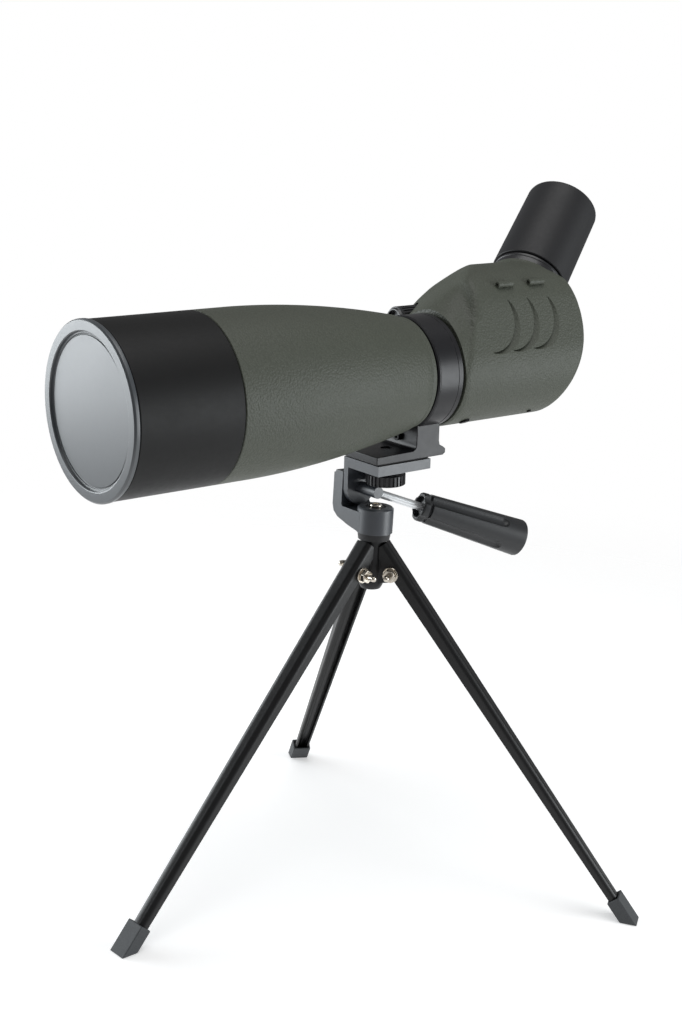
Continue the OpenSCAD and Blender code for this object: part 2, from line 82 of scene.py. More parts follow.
WORLD = Matrix.Scale(MM, 4)
HEAD = frame_at(joint["tilt"]["pos_m"], scope_axis, (0, 0, 1))
SCOPE = frame_at(joint["collar_roll"]["pos_m"], scope_axis, eye_axis)
COLLAR = frame_at(joint["collar_roll"]["pos_m"], scope_axis, (0, 0, 1))
EYEPIECE = frame_at(eye_origin, eye_axis, (0, 0, 1))
KNOB = frame_at(joint["focus_turn"]["pos_m"], scope_axis, eye_axis)

LEGS = []
for k in (1, 2, 3):
    pin = joint[f"leg_{k}_fold"]
    out = Vector(pin["axis"]).cross((0, 0, 1))
    up = Vector((0, 0, 1))
    LEGS.append(frame_at(pin["pos_m"], out * math.cos(SPLAY) + up * math.sin(SPLAY), up))
print("scope axis", [round(v, 3) for v in scope_axis], "legs", len(LEGS))

# %% [markdown]
# ## Shared effects
# Real surfaces are never one flat colour. Four small node groups carry the effects
# that many finishes share: a slow drift of tone, a moulded pebble grain, fine lines
# left by turning, and paint rubbed thin along edges. A group gives out only values
# and colours, and each material decides what they drive.

# %% Helpers for node groups
def new_group(name, inputs, outputs):
    """An empty shader group with float, colour or vector sockets."""
    kinds = {"f": "NodeSocketFloat", "c": "NodeSocketColor", "v": "NodeSocketVector"}
    tree = bpy.data.node_groups.new(name, "ShaderNodeTree")
    for label, kind, value in inputs:
        made = tree.interface.new_socket(label, in_out="INPUT", socket_type=kinds[kind])
        if value is not None:
            made.default_value = value
    for label, kind in outputs:
        tree.interface.new_socket(label, in_out="OUTPUT", socket_type=kinds[kind])
    return tree, tree.nodes.new("NodeGroupInput"), tree.nodes.new("NodeGroupOutput")


def add(tree, kind, links=None, **settings):
    """A node with its settings, and its inputs linked or set by name or number."""
    node = tree.nodes.new(kind)
    for key, value in settings.items():
        setattr(node, key, value)
    for key, value in (links or {}).items():
        if isinstance(value, bpy.types.NodeSocket):
            tree.links.new(value, node.inputs[key])
        else:
            node.inputs[key].default_value = value
    return node


def math_node(tree, operation, a, b=0.0, clamp=False):
    return add(tree, "ShaderNodeMath", {0: a, 1: b}, operation=operation,
               use_clamp=clamp).outputs[0]


# %% Slow drift of tone
tone, gin, gout = new_group(
    "slow drift",
    [("Vector", "v", None), ("Colour", "c", (0.5, 0.5, 0.5, 1)), ("Amount", "f", 0.1),
     ("Roughness", "f", 0.5), ("Spread", "f", 0.08), ("Scale", "f", 60.0)],
    [("Colour", "c"), ("Roughness", "f")])
broad = add(tone, "ShaderNodeTexNoise", {"Vector": gin.outputs["Vector"],
            "Scale": gin.outputs["Scale"], "Detail": 4.0, "Roughness": 0.6})
centred = math_node(tone, "SUBTRACT", broad.outputs[0], 0.5)
swing = math_node(tone, "MULTIPLY", centred, gin.outputs["Amount"])
gain = math_node(tone, "ADD", swing, 1.0)
tinted = add(tone, "ShaderNodeVectorMath", {0: gin.outputs["Colour"], "Scale": gain},
             operation="SCALE")
fine = add(tone, "ShaderNodeTexNoise", {"Vector": gin.outputs["Vector"],
           "Scale": math_node(tone, "MULTIPLY", gin.outputs["Scale"], 7.3),
           "Detail": 3.0})
both = math_node(tone, "ADD", centred, math_node(tone, "SUBTRACT", fine.outputs[0], 0.5))
rub = math_node(tone, "MULTIPLY", both, gin.outputs["Spread"])
tone.links.new(tinted.outputs[0], gout.inputs["Colour"])
tone.links.new(math_node(tone, "ADD", rub, gin.outputs["Roughness"], True),
               gout.inputs["Roughness"])

# %% Moulded pebble grain
pebble, gin, gout = new_group(
    "pebble grain",
    [("Vector", "v", None), ("Scale", "f", 900.0), ("Softness", "f", 0.35)],
    [("Height", "f"), ("Pit", "f")])
warp = add(pebble, "ShaderNodeTexNoise", {"Vector": gin.outputs["Vector"],
           "Scale": math_node(pebble, "MULTIPLY", gin.outputs["Scale"], 0.8),
           "Detail": 2.0})
push = add(pebble, "ShaderNodeVectorMath", {0: warp.outputs["Color"], "Scale": 0.0006},
           operation="SCALE")
warped = add(pebble, "ShaderNodeVectorMath", {0: gin.outputs["Vector"],
             1: push.outputs[0]}, operation="ADD")
cells = add(pebble, "ShaderNodeTexVoronoi", {"Vector": warped.outputs[0],
            "Scale": gin.outputs["Scale"], "Smoothness": gin.outputs["Softness"]},
            feature="SMOOTH_F1")
dome = math_node(pebble, "SUBTRACT", 1.0, cells.outputs["Distance"])
dust = add(pebble, "ShaderNodeTexNoise", {"Vector": gin.outputs["Vector"],
           "Scale": math_node(pebble, "MULTIPLY", gin.outputs["Scale"], 2.7),
           "Detail": 2.0})
height = math_node(pebble, "ADD", dome,
                   math_node(pebble, "MULTIPLY", dust.outputs[0], 0.35))
pebble.links.new(height, gout.inputs["Height"])
# Pit is highest in the crevices between the pebbles; finishes use it to paint shade there.
pebble.links.new(math_node(pebble, "MULTIPLY", cells.outputs["Distance"], 1.0, True),
                 gout.inputs["Pit"])

# %% Lines left by turning
turning, gin, gout = new_group(
    "turned lines", [("Vector", "v", None), ("Scale", "f", 2500.0)], [("Height", "f")])
split = add(turning, "ShaderNodeSeparateXYZ", {0: gin.outputs["Vector"]})
flat = add(turning, "ShaderNodeCombineXYZ", {"X": split.outputs["X"]})
lines = add(turning, "ShaderNodeTexNoise", {"Vector": flat.outputs[0],
            "Scale": gin.outputs["Scale"], "Detail": 3.0, "Roughness": 0.7})
turning.links.new(lines.outputs[0], gout.inputs["Height"])

# %% Paint rubbed thin along edges
edges, gin, gout = new_group(
    "rubbed edges",
    [("Vector", "v", None), ("Width", "f", 0.0006), ("Amount", "f", 0.5)],
    [("Mask", "f")])
rounded = add(edges, "ShaderNodeBevel", {"Radius": gin.outputs["Width"]}, samples=4)
true_normal = add(edges, "ShaderNodeNewGeometry")
bend = add(edges, "ShaderNodeVectorMath", {0: rounded.outputs[0],
           1: true_normal.outputs["Normal"]}, operation="DOT_PRODUCT")
sharp = math_node(edges, "SUBTRACT", 1.0, bend.outputs["Value"])
patchy = add(edges, "ShaderNodeTexNoise", {"Vector": gin.outputs["Vector"],
             "Scale": 420.0, "Detail": 5.0, "Roughness": 0.65})
broken = add(edges, "ShaderNodeMapRange", {"Value": patchy.outputs[0],
             "From Min": 0.42, "From Max": 0.62})
strong = math_node(edges, "MULTIPLY", math_node(edges, "MULTIPLY", sharp, 9.0, True),
                   broken.outputs[0])
edges.links.new(math_node(edges, "MULTIPLY", strong, gin.outputs["Amount"], True),
                gout.inputs["Mask"])
print("node groups:", len(bpy.data.node_groups))

# %% [markdown]
# ## Finishes
# One recipe serves every opaque finish. It starts from a colour and a roughness,
# lets them drift, rubs the edges, and raises the grain with a Bump node whose
# distance is the real depth of the texture in metres. Only the numbers differ
# between armour rubber, cast paint, moulded plastic and bright metal.

# %% The finish recipe
def use_group(tree, group, links):
    node = tree.nodes.new("ShaderNodeGroup")
    node.node_tree = group
    for key, value in links.items():
        if isinstance(value, bpy.types.NodeSocket):
            tree.links.new(value, node.inputs[key])
        else:
            node.inputs[key].default_value = value
    return node


def mapped(tree, local):
    """Object coordinates turned into a local frame, still in metres."""
    coords = add(tree, "ShaderNodeTexCoord")
    back = (local @ Matrix.Scale(1 / MM, 4)).inverted()
    return add(tree, "ShaderNodeMapping",
               {"Vector": coords.outputs["Object"], "Location": back.to_translation(),
                "Rotation": back.to_euler()}).outputs[0]


def make_finish(name, colour, rough, metallic=0.0, drift=0.16, spread=0.12, scale=60.0,
                grain=(1800.0, 0.00002), soft=0.4, painted_pit_shade=0.0, wear=(0.0005, 0.0),
                worn=(0.3, 0.3, 0.3), lines=None, local=WORLD, specular=0.5):
    """An opaque finish. grain is (cells per metre, depth in metres). The pit setting paints shade into the grain's
    crevices by darkening the base colour there.
    """
    mat = bpy.data.materials.new(name)
    mat.use_nodes = True
    tree = mat.node_tree
    shader = tree.nodes["Principled BSDF"]
    where = mapped(tree, local)
    toned = use_group(tree, tone, {"Vector": where, "Colour": (*colour, 1),
                      "Amount": drift, "Roughness": rough, "Spread": spread,
                      "Scale": scale})
    texture = use_group(tree, pebble, {"Vector": where, "Scale": grain[0],
                        "Softness": soft})
    base = toned.outputs["Colour"]
    # Painted shade: the base colour is made darker in the crevices between the grain's pebbles.
    if painted_pit_shade:
        pit_shading = add(tree, "ShaderNodeMapRange", {"Value": texture.outputs["Pit"],
                     "From Min": 0.25, "From Max": 0.7, "To Min": 1.0,
                     "To Max": 1.0 - painted_pit_shade})
        base = add(tree, "ShaderNodeVectorMath", {0: base, "Scale": pit_shading.outputs[0]},
                   operation="SCALE").outputs[0]
    roughness = toned.outputs["Roughness"]
    if wear[1]:
        rubbed = use_group(tree, edges, {"Vector": where, "Width": wear[0],
                           "Amount": wear[1]})
        mixed = add(tree, "ShaderNodeMix", {"Factor": rubbed.outputs["Mask"]},
                    data_type="RGBA")
        tree.links.new(base, mixed.inputs[6])
        mixed.inputs[7].default_value = (*worn, 1)
        base = mixed.outputs[2]
        roughness = math_node(tree, "SUBTRACT", roughness, math_node(
            tree, "MULTIPLY", rubbed.outputs["Mask"], 0.15), True)
    tree.links.new(base, shader.inputs["Base Color"])
    tree.links.new(roughness, shader.inputs["Roughness"])
    bump = add(tree, "ShaderNodeBump", {"Height": texture.outputs["Height"],
               "Strength": 1.0, "Distance": grain[1]})
    if lines:
        ridges = use_group(tree, turning, {"Vector": where, "Scale": lines[0]})
        bump = add(tree, "ShaderNodeBump", {"Height": ridges.outputs["Height"],
                   "Strength": 1.0, "Distance": lines[1],
                   "Normal": bump.outputs["Normal"]})
    tree.links.new(bump.outputs["Normal"], shader.inputs["Normal"])
    shader.inputs["Metallic"].default_value = metallic
    shader.inputs["Specular IOR Level"].default_value = specular
    return mat


# %% [markdown]
# ### The finishes themselves
# The body wears moulded green armour with a leather-like pebble. The shade and caps
# are black, but three different blacks: dead matte paint, satin plastic and a faintly
# grey moulded cap. The tripod is powder-coated dark grey and satin black, and only
# the handle rod, screws and nuts are bright.

# %% Make the finishes
finish = {
    # The armour's grain crevices carry painted shade.
    "armour": make_finish("green armour", (0.066, 0.073, 0.056), 0.54, drift=0.10,
                          spread=0.10, grain=(950.0, 0.00020), soft=0.25,
                          painted_pit_shade=0.14, specular=0.42, wear=(0.0006, 0.10),
                          worn=(0.11, 0.12, 0.10)),
    "shade_black": make_finish("matte black shade", (0.006, 0.006, 0.0062), 0.50,
                               drift=0.2, grain=(3200.0, 0.000014), specular=0.24,
                               local=SCOPE),
    "cap_plastic": make_finish("objective cap plastic", (0.050, 0.057, 0.064), 0.34,
                               drift=0.10, spread=0.06, scale=45.0,
                               grain=(2600.0, 0.000004), specular=0.8,
                               wear=(0.0004, 0.25), worn=(0.16, 0.17, 0.18)),
    "eye_cap_plastic": make_finish("eyepiece cap plastic", (0.0145, 0.0145, 0.016), 0.52,
                                   drift=0.14, grain=(2600.0, 0.000022), specular=0.34,
                                   wear=(0.0004, 0.12), worn=(0.07, 0.07, 0.07)),
    "collar_paint": make_finish("collar black", (0.011, 0.011, 0.013), 0.36, drift=0.2,
                                spread=0.10, grain=(2400.0, 0.000006), specular=0.36,
                                wear=(0.0004, 0.3), worn=(0.09, 0.095, 0.10),
                                lines=(2600.0, 0.000006), local=SCOPE),
    "head_paint": make_finish("head powder coat", (0.033, 0.038, 0.046), 0.38,
                              drift=0.16, spread=0.10, grain=(1900.0, 0.000018),
                              specular=0.75, wear=(0.0004, 0.45),
                              worn=(0.22, 0.235, 0.25)),
    "black_cast": make_finish("cast black", (0.007, 0.007, 0.008), 0.40, drift=0.2,
                              grain=(1700.0, 0.000020), specular=0.36,
                              wear=(0.0004, 0.3), worn=(0.06, 0.06, 0.062)),
    "black_sheet": make_finish("leg black", (0.0055, 0.0055, 0.006), 0.36, drift=0.22,
                               spread=0.10, scale=40.0, grain=(2200.0, 0.000010),
                               specular=0.36, wear=(0.0004, 0.15),
                               worn=(0.04, 0.04, 0.042)),
    # The foot rubber's grain crevices carry painted shade.
    "foot_rubber": make_finish("foot rubber", (0.050, 0.054, 0.058), 0.62, drift=0.2,
                               grain=(1400.0, 0.00004), painted_pit_shade=0.15, specular=0.4,
                               wear=(0.0005, 0.3), worn=(0.13, 0.135, 0.14)),
    "pad_rubber": make_finish("pad rubber", (0.012, 0.012, 0.012), 0.7,
                              grain=(1200.0, 0.00005), specular=0.3),
    "grip_plastic": make_finish("grip plastic", (0.021, 0.022, 0.024), 0.42, drift=0.2,
                                spread=0.14, grain=(1500.0, 0.000030), specular=0.5,
                                wear=(0.0005, 0.35), worn=(0.11, 0.115, 0.12)),
    "grip_rubber": make_finish("grip rubber", (0.014, 0.014, 0.014), 0.68, drift=0.2,
                               grain=(1700.0, 0.00003), specular=0.35),
    "black_plastic": make_finish("black plastic", (0.016, 0.016, 0.018), 0.34,
                                 drift=0.2, grain=(2400.0, 0.000014), specular=0.55,
                                 wear=(0.0004, 0.25), worn=(0.08, 0.08, 0.085)),
    "black_tube": make_finish("black anodised", (0.016, 0.016, 0.017), 0.36,
                              metallic=0.4, drift=0.15, grain=(3000.0, 0.000006),
                              lines=(3000.0, 0.00001), local=SCOPE),
    "black_screw": make_finish("black oxide", (0.008, 0.008, 0.008), 0.42,
                               metallic=0.6, grain=(2600.0, 0.00001)),
    "nickel": make_finish("polished nickel", (0.60, 0.55, 0.48), 0.20, metallic=1.0,
                          drift=0.14, spread=0.10, scale=180.0,
                          grain=(1500.0, 0.000003)),
    "bright_rod": make_finish("bright steel", (0.90, 0.92, 0.94), 0.30, metallic=0.6,
                              drift=0.05, spread=0.08, scale=120.0,
                              grain=(2500.0, 0.000001)),
}


def make_glass(name, colour, rough):
    """Coated optical glass: clear, with smudges that show in the reflection."""
    mat = bpy.data.materials.new(name)
    mat.use_nodes = True
    tree = mat.node_tree
    shader = tree.nodes["Principled BSDF"]
    where = add(tree, "ShaderNodeTexCoord").outputs["Object"]
    toned = use_group(tree, tone, {"Vector": where, "Colour": (*colour, 1),
                      "Amount": 0.06, "Roughness": rough, "Spread": 0.04,
                      "Scale": 70.0})
    tree.links.new(toned.outputs["Colour"], shader.inputs["Base Color"])
    tree.links.new(toned.outputs["Roughness"], shader.inputs["Roughness"])
    shader.inputs["Transmission Weight"].default_value = 1.0
    shader.inputs["IOR"].default_value = 1.52
    shader.inputs["Coat Weight"].default_value = 0.6
    shader.inputs["Coat Tint"].default_value = (0.62, 0.85, 0.72, 1)
    return mat


finish["lens_glass"] = make_glass("coated glass", (0.86, 0.95, 0.92), 0.02)
print("finishes:", len(finish))

# %% [markdown]
# ## Modelling helpers
# Most of the scope is turned on a lathe, so a profile of stations and radii spun
# about an axis makes the tube, caps, collar and eyepiece. Flat stock, such as the
# bracket, starts as an outline that is extruded. Castings start from a merged copy
# of the CAD node. Every sharp edge then gets a small bevel, because a real edge
# always catches a thin line of light.

# %% Helpers for shapes
body_of = {n: b for b, ns in frame["record"]["behaviour"]["bodies"].items() for n in ns}
slot_of = {s["node"]: s["material_slot"] for s in frame["record"]["subparts"]}
SMOOTH_ANGLE = math.radians(38)


def spun(profile, steps=144, closed=True):
    """Spins (station, radius) points about local X. Radius 0 closes a pole."""
    bm = bmesh.new()
    ring = [bm.verts.new((x, 0, r)) for x, r in profile]
    pairs = list(zip(ring, ring[1:])) + ([(ring[-1], ring[0])] if closed else [])
    wire = [bm.edges.new(p) for p in pairs]
    bmesh.ops.spin(bm, geom=ring + wire, cent=(0, 0, 0), axis=(1, 0, 0),
                   angle=math.tau, steps=steps, use_merge=True, use_duplicate=False)
    bmesh.ops.remove_doubles(bm, verts=bm.verts, dist=1e-4)
    bmesh.ops.dissolve_degenerate(bm, edges=bm.edges, dist=1e-4)
    bmesh.ops.recalc_face_normals(bm, faces=bm.faces)
    return bm


def plate(outline, y0, y1):
    """An outline of (x, z) points carried along local Y."""
    bm = bmesh.new()
    bm.faces.new([bm.verts.new((x, y0, z)) for x, z in outline])
    made = bmesh.ops.extrude_face_region(bm, geom=list(bm.faces))
    far = [v for v in made["geom"] if isinstance(v, bmesh.types.BMVert)]
    bmesh.ops.translate(bm, verts=far, vec=(0, y1 - y0, 0))
    bmesh.ops.recalc_face_normals(bm, faces=bm.faces)
    return bm


def rod(radius, x0, x1, z=0.0, segments=64):
    """A round bar along local X."""
    bm = bmesh.new()
    bmesh.ops.create_cone(bm, cap_ends=True, segments=segments, radius1=radius,
                          radius2=radius, depth=x1 - x0)
    turn = Matrix.Translation(((x0 + x1) / 2, 0, z)) @ Matrix.Rotation(
        math.pi / 2, 4, "Y")
    bmesh.ops.transform(bm, matrix=turn, verts=bm.verts)
    return bm


def moved(bm, matrix):
    """The same shape, moved by matrix."""
    bmesh.ops.transform(bm, matrix=matrix, verts=bm.verts)
    return bm


def soften(bm, width, segments=3, angle=28, pick=None):
    """Bevels the edges that are sharper than angle, or those that pick chooses."""
    limit = math.radians(angle)
    sharp_edges = [e for e in bm.edges if len(e.link_faces) == 2
                   and e.calc_face_angle(0) > limit and (pick is None or pick(e))]
    bmesh.ops.bevel(bm, geom=sharp_edges, offset=width, segments=segments, profile=0.5,
                    affect="EDGES", clamp_overlap=True, material=-1)
    return bm


def merged_copy(node, local=None):
    """A welded copy of a CAD node's mesh, with flat areas made whole."""
    bm = bmesh.new()
    bm.from_mesh(frame["nodes"][node].data)
    back = (local or WORLD).inverted()
    bmesh.ops.transform(bm, matrix=back, verts=bm.verts)
    bmesh.ops.remove_doubles(bm, verts=bm.verts, dist=1e-3)
    bmesh.ops.dissolve_limit(bm, angle_limit=math.radians(0.6), verts=bm.verts,
                             edges=bm.edges)
    return bm


# %% Helpers for carving and finishing
def scratch(bm):
    """A throwaway object that holds a shape while a modifier works on it."""
    mesh = bpy.data.meshes.new("scratch")
    bm.to_mesh(mesh)
    bm.free()
    obj = bpy.data.objects.new("scratch", mesh)
    bpy.context.scene.collection.objects.link(obj)
    return obj


def result_of(obj, *others):
    """The object's mesh with its modifiers applied, as a bmesh; all are removed."""
    dg = bpy.context.evaluated_depsgraph_get()
    bm = bmesh.new()
    bm.from_mesh(obj.evaluated_get(dg).data)
    for o in (obj, *others):
        bpy.data.objects.remove(o)
    return bm


def carve(bm, tool, operation="DIFFERENCE"):
    """Cuts tool out of bm, or joins or intersects them."""
    work, knife = scratch(bm), scratch(tool)
    mod = work.modifiers.new("carve", "BOOLEAN")
    mod.object, mod.operation, mod.solver = knife, operation, "EXACT"
    return result_of(work, knife)


def together(*shapes):
    """Puts shapes that don't touch into one bmesh."""
    out_bm = bmesh.new()
    for bm in shapes:
        mesh = bpy.data.meshes.new("part")
        bm.to_mesh(mesh)
        bm.free()
        out_bm.from_mesh(mesh)
        bpy.data.meshes.remove(mesh)
    return out_bm


def piece(bm, name, node, local=WORLD, angle=SMOOTH_ANGLE, finish_name=None):
    """Turns a shape into a finished piece that rides on its CAD node's body."""
    bmesh.ops.transform(bm, matrix=local, verts=bm.verts)
    mesh = bpy.data.meshes.new(name)
    bm.to_mesh(mesh)
    bm.free()
    mesh.materials.append(finish[finish_name or slot_of[node]])
    mesh.shade_smooth()
    mesh.set_sharp_from_angle(angle=angle)
    obj = bpy.data.objects.new(name, mesh)
    bpy.context.scene.collection.objects.link(obj)
    level = obj.modifiers.new("even shading", "WEIGHTED_NORMAL")
    level.keep_sharp = True
    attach(obj, body_of[node])
    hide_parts(node)
    print(f"{name}: {len(mesh.polygons)} faces on body {body_of[node]}")
    return obj


# %% [markdown]
# ## The barrel
# The armour swells from the collar to the sun shade along one smooth curve. The CAD
# draws that curve with a few dozen steps; here it is spun finer, with a rolled lip at
# the collar and a soft edge at the shade, so that highlights run along it unbroken.

# %% Barrel armour
BARREL_START, BARREL_END = 8.4, 127.0
SHADE_R, WAIST_R = 39.6, 27.9
SKIN = 2.0
OUTER_RUN, INNER_RUN = 118.0, 114.6
DRILLED_R, DRILLED_X = 1.4, 36


def barrel_radius(x):
    return SHADE_R - (SHADE_R - WAIST_R) * max(0.0, 1 - (x - BARREL_START) / 100) ** 1.9


outside = [(x, barrel_radius(x))
           for x in (BARREL_START + OUTER_RUN * i / 60 for i in range(3, 61))]
inside = [(x, barrel_radius(x) - SKIN)
          for x in (BARREL_START + 2 + INNER_RUN * i / 16 for i in range(16, -1, -1))]
lip = [(BARREL_START + 1.2, 25.6), (BARREL_START, 25.6), (BARREL_START, 27.2),
       (BARREL_START + 0.35, 27.75), (BARREL_START + 2.6, 28.1),
       (BARREL_START + 3.0, 27.95), (BARREL_START + 3.4, 28.15)]
front_lip = [(BARREL_END - 0.3, SHADE_R - 0.05), (BARREL_END, SHADE_R - 0.4),
             (BARREL_END, 37.6)]
armour = spun(lip + outside + front_lip + inside, steps=176)
armour = carve(armour, moved(rod(DRILLED_R, -41, -31),
                             Matrix.Translation((DRILLED_X, 0, 0))
                             @ Matrix.Rotation(-math.pi / 2, 4, "Y")))
piece(armour, "barrel_armour_skin", "barrel_armour", SCOPE)

# %% [markdown]
# ## Sun shade and objective cap
# The shade is a plain matte tube that slides over the front of the barrel. The cap
# has a flat flange, a step, a recessed ring, a fine groove and a disc. Those circles
# are what the eye reads first, so each has its own little radius.

# %% Sun shade
SHADE_BACK, SHADE_FRONT = 127.2, 179.5
shade = spun([(SHADE_BACK, 37.3), (SHADE_BACK, 39.1), (SHADE_BACK + 0.5, SHADE_R),
              (SHADE_FRONT - 0.4, SHADE_R), (SHADE_FRONT, SHADE_R - 0.4),
              (SHADE_FRONT, 37.8), (SHADE_FRONT - 10, 37.8), (SHADE_FRONT - 10.5, 37.3)],
             steps=176)
soften(shade, 0.15)
piece(shade, "sun_shade_tube", "sun_shade", SCOPE)

# %% Objective cap
CAP_BACK = SHADE_FRONT + 0.1
CAP_FACE = CAP_BACK + 2.8
CAP_R = 40.0
DISC_Z = CAP_FACE - 1.4
cap = spun([(DISC_Z, 0), (DISC_Z, 32.9), (DISC_Z - 0.5, 33.1), (DISC_Z - 0.5, 33.5),
            (DISC_Z, 33.7), (DISC_Z, 34.5), (CAP_FACE - 0.4, 34.6), (CAP_FACE, 35.0),
            (CAP_FACE, 39.2), (CAP_FACE - 0.8, CAP_R), (CAP_BACK + 0.5, CAP_R),
            (CAP_BACK, CAP_R - 0.4), (CAP_BACK, 37.5), (CAP_BACK - 8.5, 37.5),
            (CAP_BACK - 8.5, 35.7), (CAP_BACK - 1.2, 35.7), (CAP_BACK - 1.2, 0)],
           steps=176, closed=False)
soften(cap, 0.16, segments=2)
piece(cap, "objective_cap_disc", "objective_cap", SCOPE)

# %% [markdown]
# ## Collar and bracket
# The collar is a turned ring that the whole scope rolls in. It stands on an L-shaped
# bracket cut from one extrusion: a post under the ring, a long foot forward for the
# camera screw, and a short toe behind. The two are joined with a Boolean, and the
# bore is cut last so that it stays true.

# %% Collar
HALF_PLATE = 13.65
COLLAR_BORE = 25.05
SCREW_HOLE_R, SCREW_HOLE_X = 3.1, 16.1
LOCK_HOLE_R, LOCK_HOLE_Z = 1.55, -31.8
ring = spun([(-8.3, 24.0), (-8.3, 27.6), (-7.7, 28.2), (-5.3, 28.2), (-5.15, 28.0),
             (-4.85, 28.0), (-4.7, 28.2), (6.3, 28.2), (6.45, 28.05), (6.65, 28.05),
             (6.8, 28.2), (7.0, 28.2), (7.6, 27.6), (7.6, 24.0)], steps=160)
bracket = plate([(8, -24), (8, -34.2), (8.6, -35.9), (10.2, -36.8), (33, -37.2),
                 (33, -41.1), (-9.4, -41.1), (-11, -40), (-11, -38), (-9.6, -36.9),
                 (-7.2, -35.6), (-6.6, -33.5), (-6.6, -24)], -HALF_PLATE, HALF_PLATE)
soften(bracket, 0.4, segments=3, angle=40)
collar = carve(ring, bracket, "UNION")
collar = carve(collar, rod(COLLAR_BORE, -20, 20, segments=160))
hole = moved(rod(SCREW_HOLE_R, -45, -30), Matrix.Translation((SCREW_HOLE_X, 0, 0))
             @ Matrix.Rotation(-math.pi / 2, 4, "Y"))
collar = carve(collar, hole)
collar = carve(collar, rod(LOCK_HOLE_R, 0, 20, z=LOCK_HOLE_Z, segments=32))
piece(collar, "collar_bracket", "collar", COLLAR)

# %% [markdown]
# ## The prism housing
# This is the one free-form part: a round neck that grows into a flat-sided box with
# a rounded back, and a boss for the eyepiece. Two extruded outlines and a spun back
# are intersected for the box, a convex hull makes the neck, and a cylinder the boss.
# A voxel remesh welds them into one even skin that smoothing can round, as a mould
# would. The shoulder behind the collar is smoothed for longer than the rest.
# Crisp features, such as the ends and the thumb scoops, are cut afterwards.

# %% Housing outlines
HOUSE_R, HOUSE_RISE = 29.0, 22.0
BACK_X, BACK_Z, BACK_R = -54.5, 14.6, 49.8
VOXEL = 0.85
SMOOTHING = 9
SHOULDER_SMOOTHING = 30


def arc(cx, cz, radius, start, end, count):
    """Points on an arc, for an outline."""
    angles = [math.radians(start + (end - start) * i / count) for i in range(count + 1)]
    return [(cx + radius * math.cos(a), cz + radius * math.sin(a)) for a in angles]


side_outline = ([(-10.5, -30.5), (-10.5, -10), (-23, 22), (-27, 38.4), (-36.5, 45.4),
                 (-47.5, 50.7), (-58, 51.2), (-70, 51.0), (-82, 44.6), (-130, -3.4),
                 (-130, -30.5)])
section_outline = arc(0, HOUSE_RISE, HOUSE_R, 0, 180, 40) + arc(0, 0, HOUSE_R, 180, 360, 40)
back_profile = ([(BACK_X - BACK_R, 0)]
                + [(x, r) for x, r in arc(BACK_X, 0, BACK_R, 176, 90, 40)]
                + [(BACK_X + 0.5, 80), (0, 80), (0, 0)])

side = plate(side_outline, -40, 40)
section = moved(plate(section_outline, 0, 135), Matrix.Rotation(math.pi / 2, 4, "Z"))
round_back = moved(spun(back_profile, steps=96, closed=False),
                   Matrix.Translation((0, 0, BACK_Z)))
box = carve(carve(side, section, "INTERSECT"), round_back, "INTERSECT")
print("box:", len(box.faces), "faces")

# %% Neck and boss
BOSS_R, BOSS_END = 20.0, 54.5
to_eyepiece = SCOPE.inverted() @ EYEPIECE

neck = bmesh.new()
for station, radius, across, lift in (
        (-6.5, 27.9, 0, 0), (-10.2, 27.9, 0, 0), (-25.5, 26.6, 0, 0),
        (-25.5, 25.4, 0, 11), (-25.5, 8, 14, 29.6), (-25.5, 8, -14, 29.6),
        (-46, 28.5, 0, 21.5), (-46, 28.5, 0, 0)):
    made = bmesh.ops.create_circle(neck, segments=96, radius=radius)
    bmesh.ops.transform(neck, verts=made["verts"],
                        matrix=Matrix.Translation((station, across, lift))
                        @ Matrix.Rotation(math.pi / 2, 4, "Y"))
wrapped = bmesh.ops.convex_hull(neck, input=neck.verts)
bmesh.ops.delete(neck, geom=wrapped["geom_interior"], context="VERTS")
boss = moved(rod(BOSS_R, 10, BOSS_END + 6, segments=128), to_eyepiece)
shell = scratch(together(box, neck, boss))
remesh = shell.modifiers.new("weld", "REMESH")
remesh.mode, remesh.voxel_size = "VOXEL", VOXEL
housing = result_of(shell)
for _ in range(SMOOTHING):
    bmesh.ops.smooth_vert(housing, verts=housing.verts, factor=0.5, use_axis_x=True,
                          use_axis_y=True, use_axis_z=True)
blend = [v for v in housing.verts if -48 < v.co.x < -14 and v.co.z > 16]
for _ in range(SHOULDER_SMOOTHING):
    bmesh.ops.smooth_vert(housing, verts=blend, factor=0.5, use_axis_x=True,
                          use_axis_y=True, use_axis_z=True)
print("welded housing:", len(housing.faces), "faces")

# %% [markdown]
# ### Cutting the housing
# The boss is faced square to the eyepiece, the neck is faced at the collar and bored
# for the journal, and the focus knob gets its trough on the far shoulder. The three
# thumb scoops on each side are steep on their inner arc and ramp out to nothing, so
# their cutter is a ring segment whose floor slopes.

# %% Scoop cutter
SCOOP_R, SCOOP_DEPTH, SCOOP_WIDTH = 18.1, 1.8, 3.8
SCOOP_Z = 17.2
SCOOP_FROM, SCOOP_TO = 152, 274
SCOOP_RAMP, SCOOP_TIP = 4.2, 0.25
SCOOP_PLACES = (-56.8, -42.7, -29.3)


